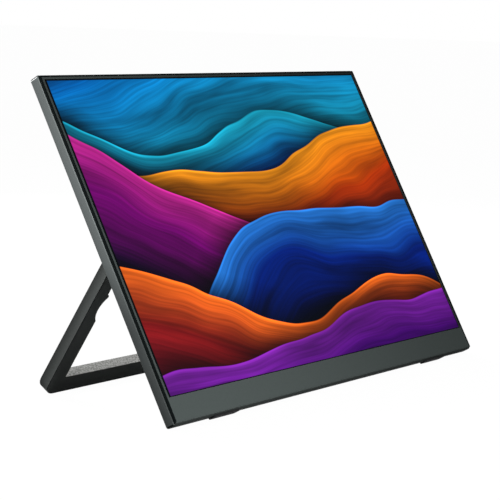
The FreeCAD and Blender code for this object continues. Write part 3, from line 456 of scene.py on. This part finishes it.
pairFinishes = {
    "speaker_box": "chipBlack", "speaker_driver": "driverBlack", "foot": "footRubber",
    "hinge_bracket": "plateSteel", "hinge_shaft": "turnedSteel", "friction_washers": "turnedSteel",
    "hinge_collar": "turnedSteel",
}
for sideName in ("left", "right"):
    nodeFinishes.update({f"{sideName}_{piece}": finish for piece, finish in pairFinishes.items()})
for nodeName, finishName in nodeFinishes.items():
    node = frame["nodes"][nodeName]
    node.data.materials.clear()
    node.data.materials.append(finishes[finishName])
print("finishes on", len(nodeFinishes), "packed nodes")

# the lit screen: sizes in metres, the film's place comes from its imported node
screen = dict(
    filmWidth=0.3469, filmHeight=0.2176, filmDepth=0.0002, columns=64, rows=40,
    pictureWidth=0.3421, pictureHeight=0.2131, pictureShift=0.0006, pictureRise=0.00025, edgeSoftness=0.0004,
    brightness=1.0, roughness=0.5, roughnessSpread=0.05, sheenScale=900.0, specular=0.005,
    black=(0.003, 0.004, 0.005), facing=0.5,
)
# the picture: streaked dunes that overlap, from the far one to the nearest, in shares of the picture's height
dunes = dict(wander=0.05, rippleScale=2.2, finerWaves=1.9, finerRise=0.35, edge=0.0015, shade=0.10,
             shadeDepth=0.85, middleBy=0.45, footFrom=0.4, streakRun=1.6, streakStep=7.3,
             broad=15.0, broadTone=(0.35, 1.2), fine=110.0, fineTone=(0.7, 1.2), glint=0.012, glintTone=0.8)
duneLooks = [
    dict(base=0.95, rise=0.05, waves=2.0, turn=0.9, tilt=0.10, deep=0.85,
         crest=(0.00, 0.02, 0.25), middle=(0.00, 0.17, 0.60), foot=(0.01, 0.46, 0.62)),
    dict(base=0.30, rise=0.10, waves=3.1, turn=0.4, tilt=-0.14, deep=0.40,
         crest=(0.01, 0.45, 0.66), middle=(0.00, 0.08, 0.48), foot=(0.00, 0.00, 0.08)),
    dict(base=0.17, rise=0.13, waves=2.3, turn=2.6, tilt=0.26, deep=0.42,
         crest=(1.00, 0.34, 0.01), middle=(0.66, 0.05, 0.00), foot=(0.10, 0.00, 0.01)),
    dict(base=0.00, rise=0.11, waves=3.4, turn=4.3, tilt=-0.24, deep=0.38,
         crest=(0.55, 0.02, 0.28), middle=(0.20, 0.00, 0.18), foot=(0.02, 0.00, 0.04)),
    dict(base=-0.12, rise=0.12, waves=2.7, turn=1.2, tilt=0.18, deep=0.38,
         crest=(0.02, 0.20, 0.70), middle=(0.00, 0.02, 0.28), foot=(0.00, 0.00, 0.03)),
    dict(base=-0.26, rise=0.10, waves=3.2, turn=5.6, tilt=-0.20, deep=0.34,
         crest=(0.85, 0.14, 0.01), middle=(0.36, 0.01, 0.01), foot=(0.04, 0.00, 0.01)),
    dict(base=-0.38, rise=0.08, waves=2.5, turn=3.4, tilt=0.16, deep=0.30,
         crest=(0.26, 0.02, 0.48), middle=(0.07, 0.00, 0.20), foot=(0.01, 0.00, 0.03)),
]


# the cells of a grid of corners, as whole arrays: each cell goes round its four corners
def gridCells(index):
    return np.stack([index[:-1, :-1], index[:-1, 1:], index[1:, 1:], index[1:, :-1]], -1).reshape(-1, 4)


# a thin sheet: front and back are one grid of (u, v) moved half the depth each way, and a strip joins them
def sheetPiece(name, centre, width, height, depth, columns, rows):
    u, v = np.meshgrid(np.linspace(0, 1, columns + 1), np.linspace(0, 1, rows + 1))
    flat = centre + (u[..., None] - 0.5) * width * acrossScreen + (v[..., None] - 0.5) * height * upScreen
    points = np.concatenate([(flat + side * 0.5 * depth * outOfScreen).reshape(-1, 3) for side in (1, -1)])
    index = np.arange((columns + 1) * (rows + 1)).reshape(rows + 1, columns + 1)
    front = gridCells(index)
    back = front[:, ::-1] + index.size
    ring = np.concatenate([index[0, :-1], index[:-1, -1], index[-1, :0:-1], index[:0:-1, 0]])
    after = np.roll(ring, -1)
    strip = np.stack([ring + index.size, after + index.size, after, ring], -1)
    cells = np.concatenate([front, back, strip])
    mesh = bpy.data.meshes.new(name)
    mesh.from_pydata(points.tolist(), [], cells.tolist())
    across = np.concatenate([u.ravel(), u.ravel()])
    along = np.concatenate([v.ravel(), v.ravel()])
    cellCorners = cells.ravel()
    layer = mesh.uv_layers.new(name="screenMap")
    layer.data.foreach_set("uv", np.stack([across[cellCorners], along[cellCorners]], -1).ravel())
    mesh.update()
    piece = bpy.data.objects.new(name, mesh)
    bpy.context.scene.collection.objects.link(piece)
    return piece


# one dune: crest = base + tilt x + wander + rise (sin a + finerRise sin(finerWaves a)), a = waves x + turn;
# the colour falls from crest to foot in streaks that follow the crest
def duneColour(tree, x, y, wander, number, dune):
    angle = calc(tree, "MULTIPLY_ADD", x, dune["waves"], dune["turn"])
    swell = calc(tree, "MULTIPLY", calc(tree, "SINE", angle), dune["rise"])
    finerAngle = calc(tree, "MULTIPLY", angle, dunes["finerWaves"])
    finer = calc(tree, "MULTIPLY", calc(tree, "SINE", finerAngle), dunes["finerRise"] * dune["rise"])
    slope = calc(tree, "MULTIPLY_ADD", x, dune["tilt"], dune["base"])
    crest = calc(tree, "ADD", calc(tree, "ADD", slope, wander), calc(tree, "ADD", swell, finer))
    below = calc(tree, "SUBTRACT", crest, y)
    depth = spread(tree, below, 0.0, 1.0, 0.0, dune["deep"])
    toMiddle = spread(tree, depth, 0.0, 1.0, 0.0, dunes["middleBy"])
    upper = mixColour(tree, toMiddle, opaque(dune["crest"]), opaque(dune["middle"]))
    body = mixColour(tree, spread(tree, depth, 0.0, 1.0, dunes["footFrom"], 1.0), upper, opaque(dune["foot"]))
    tone = spread(tree, below, 1.0 + dunes["glintTone"], 1.0, 0.0, dunes["glint"])
    for scale, tones in ((dunes["broad"], dunes["broadTone"]), (dunes["fine"], dunes["fineTone"])):
        run = addNode(tree, "ShaderNodeCombineXYZ", {
            0: calc(tree, "MULTIPLY", x, dunes["streakRun"]), 1: calc(tree, "MULTIPLY", below, scale),
            2: dunes["streakStep"] * number})
        streak = noise(tree, run.outputs[0], 1.0, detail["streak"])
        tone = calc(tree, "MULTIPLY", tone, spread(tree, streak, *tones, *noiseReach))
    return below, scaleColour(tree, body, tone)


# the picture's nodes: each dune covers what is behind it, and shades what lies just above its crest
def pictureFinish(name):
    material, tree = startMaterial(name)
    spot = addNode(tree, "ShaderNodeUVMap", uv_map="screenMap").outputs[0]
    sides = addNode(tree, "ShaderNodeSeparateXYZ", {0: spot})
    unit = screen["pictureHeight"]
    halfWide, halfHigh = 0.5 * screen["filmWidth"] / unit, 0.5 * screen["filmHeight"] / unit
    shift, rise = screen["pictureShift"] / unit, screen["pictureRise"] / unit
    x = spread(tree, sides.outputs[0], -halfWide - shift, halfWide - shift)
    y = spread(tree, sides.outputs[1], -halfHigh - rise, halfHigh - rise)
    ripple = noise(tree, spot, dunes["rippleScale"], detail["ripple"])
    wander = spread(tree, ripple, -dunes["wander"], dunes["wander"], *noiseReach)

    colour = None
    for number, dune in enumerate(duneLooks):
        below, lined = duneColour(tree, x, y, wander, number, dune)
        if colour is None:
            colour = lined
            continue
        cover = spread(tree, below, 1.0, 1.0 - dunes["shadeDepth"], -dunes["shade"], 0.0)
        inside = spread(tree, below, 0.0, 1.0, -dunes["edge"], dunes["edge"])
        colour = mixColour(tree, inside, scaleColour(tree, colour, cover), lined)

    # the black border round the picture, and the sheet's unlit sides and back
    edgeX = calc(tree, "SUBTRACT", 0.5 * screen["pictureWidth"] / unit, calc(tree, "ABSOLUTE", x))
    edgeY = calc(tree, "SUBTRACT", 0.5, calc(tree, "ABSOLUTE", y))
    lit = spread(tree, calc(tree, "MINIMUM", edgeX, edgeY), 0.0, 1.0, 0.0, screen["edgeSoftness"] / unit)
    normal = addNode(tree, "ShaderNodeTexCoord").outputs["Normal"]
    front = calc(tree, "GREATER_THAN", measureAlong(tree, normal, outOfScreen), screen["facing"])
    glowing = mixColour(tree, calc(tree, "MULTIPLY", lit, front), opaque((0.0, 0.0, 0.0)), colour)
    sheen = noise(tree, spot, screen["sheenScale"], detail["sheen"])
    shader = addNode(tree, "ShaderNodeBsdfPrincipled", {
        "Base Color": opaque(screen["black"]), "Roughness": variedRoughness(tree, sheen, screen),
        "Specular IOR Level": screen["specular"], "Emission Color": glowing,
        "Emission Strength": screen["brightness"]})
    endMaterial(tree, shader.outputs[0])
    return material


picture = sheetPiece("screen_picture", filmCentre, screen["filmWidth"], screen["filmHeight"],
                     screen["filmDepth"], screen["columns"], screen["rows"])
picture.data.materials.append(pictureFinish("screenPicture"))
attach(picture, "head")
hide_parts("polarizer_film")
print("screen picture made:", len(picture.data.polygons), "faces")

# camera: place and turn come from a fit to the photo's edges, in metres, with the lens in millimetres
view = dict(
    place=(-0.98826808, -0.7253777, 0.24800522), right=(0.60000369, -0.79954672, 0.02684423),
    down=(-0.08911974, -0.10014936, -0.99097315), sensor=36.0, lens=128.42, shiftX=-0.00327, shiftY=0.005266,
    nearest=0.01, farthest=60.0,
)
right, down = Vector(view["right"]).normalized(), Vector(view["down"]).normalized()
turn = Matrix((right, -down, -right.cross(down))).transposed().to_4x4()
eye = bpy.data.cameras.new("photoCamera")
eye.sensor_fit = "HORIZONTAL"
eye.sensor_width = view["sensor"]
eye.lens = view["lens"]
eye.shift_x = view["shiftX"]
eye.shift_y = view["shiftY"]
eye.clip_start = view["nearest"]
eye.clip_end = view["farthest"]
camera = bpy.data.objects.new("photoCamera", eye)
camera.matrix_world = Matrix.Translation(view["place"]) @ turn
bpy.context.scene.collection.objects.link(camera)
bpy.context.scene.camera = camera
print("camera set: lens", view["lens"], "mm")

# studio: lamps in watts and metres, each aimed at a point of the object
studio = dict(
    floorSize=40.0, floorCells=2, floorColour=(0.9, 0.9, 0.9), paperScale=3.0, paperSpread=0.01,
    floorWhite=0.985, bounceColour=(0.05, 0.05, 0.05), white=(1.0, 1.0, 1.0), sky=0.08,
    lamps={
        "screenFront": dict(place=(-0.17, -0.40, 0.11), aim=(-0.1, -0.04, 0.06), size=0.2, watts=1.42),
        "leftTop": dict(place=(-0.38, 0.01, 0.20), aim=(-0.17, 0.02, 0.14), size=0.15, watts=0.56),
        "backTop": dict(place=(0.10, 0.70, 1.00), aim=(0.0, 0.05, 0.05), size=0.6, watts=25.0),
        "backFill": dict(place=(0.70, 0.80, 0.50), aim=(0.0, 0.0, 0.1), size=0.5, watts=12.0),
    },
)
for lampName, lamp in studio["lamps"].items():
    light = bpy.data.lights.new(lampName, "AREA")
    light.size = lamp["size"]
    light.energy = lamp["watts"]
    holder = bpy.data.objects.new(lampName, light)
    aim = (Vector(lamp["aim"]) - Vector(lamp["place"])).to_track_quat("-Z", "Y")
    holder.matrix_world = Matrix.Translation(lamp["place"]) @ aim.to_matrix().to_4x4()
    holder.visible_camera = False
    bpy.context.scene.collection.objects.link(holder)


# white to the eye and to gloss and glass, a plain level to everything else
def whiteShare(tree):
    path = addNode(tree, "ShaderNodeLightPath")
    seen = calc(tree, "MAXIMUM", path.outputs["Is Camera Ray"], path.outputs["Is Glossy Ray"])
    return calc(tree, "MAXIMUM", seen, path.outputs["Is Transmission Ray"])


world = bpy.data.worlds.new("studio")
bpy.context.scene.world = world
world.use_nodes = True
sky = world.node_tree
sky.nodes.clear()
strength = spread(sky, whiteShare(sky), studio["sky"], 1.0)
backdrop = addNode(sky, "ShaderNodeBackground", {"Color": opaque(studio["white"]), "Strength": strength})
worldOut = sky.nodes.new("ShaderNodeOutputWorld")
sky.links.new(backdrop.outputs[0], worldOut.inputs["Surface"])


# the floor's paper: nearly all white light to the eye, the rest matt so that it keeps the shadow
def floorFinish(name):
    material, tree = startMaterial(name)
    material.cycles.emission_sampling = "NONE"  # it isn't a lamp, which would add noise
    white = whiteShare(tree)
    cloud = noise(tree, objectPlace(tree), studio["paperScale"], detail["paper"])
    paper = variedColour(tree, cloud, studio["floorColour"], studio["paperSpread"])
    tone = mixColour(tree, white, opaque(studio["bounceColour"]), paper)
    matt = addNode(tree, "ShaderNodeBsdfDiffuse", {"Color": tone}).outputs[0]
    shine = addNode(tree, "ShaderNodeEmission", {"Color": opaque(studio["white"]), "Strength": 1.0})
    share = calc(tree, "MULTIPLY", white, studio["floorWhite"])
    mixed = addNode(tree, "ShaderNodeMixShader", {0: share, 1: matt, 2: shine.outputs[0]})
    endMaterial(tree, mixed.outputs[0])
    return material


# the floor is one flat grid of (u, v) about the origin
steps = np.linspace(-0.5, 0.5, studio["floorCells"] + 1) * studio["floorSize"]
gridX, gridY = np.meshgrid(steps, steps)
floorPoints = np.stack([gridX, gridY, np.zeros_like(gridX)], -1).reshape(-1, 3)
floorFaces = gridCells(np.arange(gridX.size).reshape(gridX.shape))
floorMesh = bpy.data.meshes.new("floor")
floorMesh.from_pydata(floorPoints.tolist(), [], floorFaces.tolist())
floorMesh.materials.append(floorFinish("floorPaper"))
floor = bpy.data.objects.new("floor", floorMesh)
bpy.context.scene.collection.objects.link(floor)
bpy.context.scene.view_settings.view_transform = "Standard"
print("studio set:", len(studio["lamps"]), "lamps")
